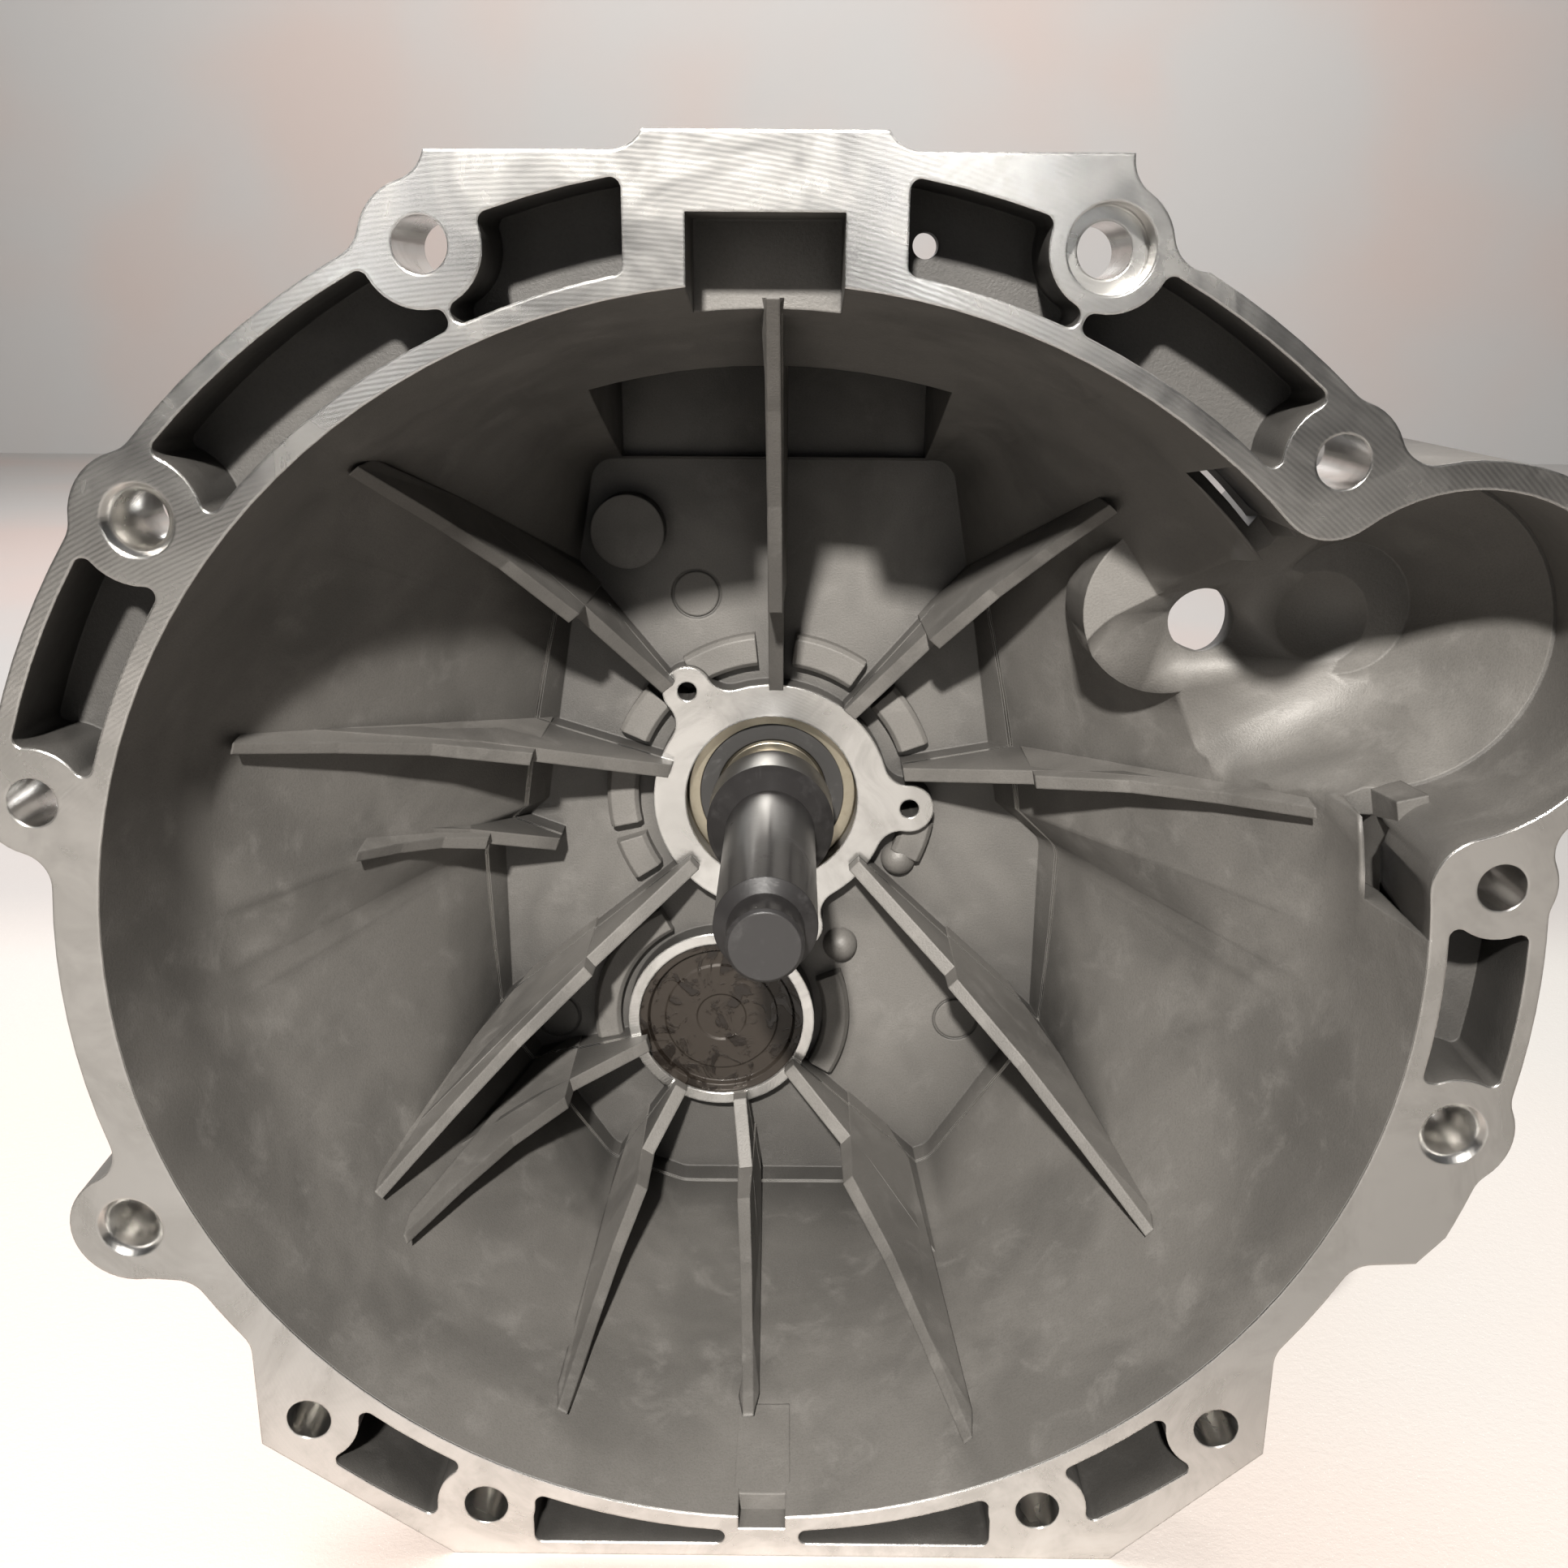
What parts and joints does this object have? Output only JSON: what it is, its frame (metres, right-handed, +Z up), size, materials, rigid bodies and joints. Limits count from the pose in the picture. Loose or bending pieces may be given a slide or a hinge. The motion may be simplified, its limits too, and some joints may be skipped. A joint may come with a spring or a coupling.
{
  "type": "gearbox housing",
  "caption": "Manual gearbox with a wide cast-aluminium clutch bell, ribbed bearing wall, input shaft, gear case and rear housing.",
  "frame": {"origin": "input shaft's axis where it crosses the machined engine face", "axes": "+Y along the shafts from the engine face into the gearbox, +X to the right looking into the bell, +Z up"},
  "size_m": [0.4271, 0.61, 0.397],
  "materials": {
    "cast_aluminium": "satin",
    "bright_steel": "satin",
    "dark_steel": "satin",
    "zinc_steel": "satin",
    "black_plastic": "satin",
    "seal_rubber": "matte"
  },
  "bodies": {
    "housing": {"bell_housing": "cast_aluminium", "gear_case": "cast_aluminium", "rear_housing": "cast_aluminium", "top_cover": "cast_aluminium", "turret_cap": "black_plastic", "case_screws": "zinc_steel", "rear_screws": "zinc_steel", "cover_screws": "zinc_steel", "drain_plug": "zinc_steel", "filler_plug": "zinc_steel", "breather": "black_plastic", "speed_sensor": "black_plastic", "layshaft_cap": "dark_steel", "output_seal": "seal_rubber", "input_bearing_outer_ring": "bright_steel", "input_bearing_shield": "black_plastic", "layshaft_front_bearing_outer_ring": "bright_steel", "layshaft_front_bearing_shield": "black_plastic", "layshaft_rear_bearing_outer_ring": "bright_steel", "layshaft_rear_bearing_shield": "black_plastic", "main_bearing_outer_ring": "bright_steel", "main_bearing_shield": "black_plastic"},
    "input_shaft": {"input_shaft": "bright_steel", "input_shaft_sleeve": "black_plastic", "input_bearing_inner_ring": "bright_steel"},
    "layshaft": {"layshaft": "bright_steel", "layshaft_front_bearing_inner_ring": "bright_steel", "layshaft_rear_bearing_inner_ring": "bright_steel"},
    "main_shaft": {"main_shaft": "bright_steel", "main_bearing_inner_ring": "bright_steel", "output_flange": "bright_steel", "output_nut": "bright_steel"},
    "third_gear": {"third_gear": "bright_steel"},
    "second_gear": {"second_gear": "bright_steel"},
    "first_gear": {"first_gear": "bright_steel"},
    "sleeve_direct_third": {"shift_sleeve_direct_third": "bright_steel"},
    "sleeve_first_second": {"shift_sleeve_first_second": "bright_steel"},
    "rail_direct_third": {"selector_rail_direct_third": "bright_steel", "shift_fork_direct_third": "bright_steel"},
    "rail_first_second": {"selector_rail_first_second": "bright_steel", "shift_fork_first_second": "bright_steel"}
  },
  "joints": [
    {"name": "input_spin", "type": "hinge", "parent": "housing", "child": "input_shaft", "pos_m": [0, 0.3, 0], "axis": [0, 1, 0], "continuous": true},
    {"name": "layshaft_spin", "type": "hinge", "parent": "housing", "child": "layshaft", "pos_m": [-0.01871, 0.3, -0.08803], "axis": [0, 1, 0], "continuous": true},
    {"name": "output_spin", "type": "hinge", "parent": "housing", "child": "main_shaft", "pos_m": [0, 0.3, 0], "axis": [0, 1, 0], "continuous": true},
    {"name": "third_gear_spin", "type": "hinge", "parent": "housing", "child": "third_gear", "pos_m": [0, 0.3, 0], "axis": [0, 1, 0], "continuous": true},
    {"name": "second_gear_spin", "type": "hinge", "parent": "housing", "child": "second_gear", "pos_m": [0, 0.3, 0], "axis": [0, 1, 0], "continuous": true},
    {"name": "first_gear_spin", "type": "hinge", "parent": "housing", "child": "first_gear", "pos_m": [0, 0.3, 0], "axis": [0, 1, 0], "continuous": true},
    {"name": "rail_direct_third_slide", "type": "slide", "parent": "housing", "child": "rail_direct_third", "axis": [0, 1, 0], "range_m": [-0.007, 0.007]},
    {"name": "rail_first_second_slide", "type": "slide", "parent": "housing", "child": "rail_first_second", "axis": [0, 1, 0], "range_m": [-0.007, 0.007]},
    {"name": "sleeve_direct_third_slide", "type": "slide", "parent": "main_shaft", "child": "sleeve_direct_third", "axis": [0, 1, 0], "range_m": [-0.007, 0.007]},
    {"name": "sleeve_first_second_slide", "type": "slide", "parent": "main_shaft", "child": "sleeve_first_second", "axis": [0, 1, 0], "range_m": [-0.007, 0.007]}
  ],
  "couplings": [
    {"joint": "layshaft_spin", "follows": "input_spin", "ratio": -0.66667},
    {"joint": "third_gear_spin", "follows": "input_spin", "ratio": 0.66667},
    {"joint": "second_gear_spin", "follows": "input_spin", "ratio": 0.47619},
    {"joint": "first_gear_spin", "follows": "input_spin", "ratio": 0.35897},
    {"joint": "sleeve_direct_third_slide", "follows": "rail_direct_third_slide", "ratio": 1},
    {"joint": "sleeve_first_second_slide", "follows": "rail_first_second_slide", "ratio": 1}
  ]
}
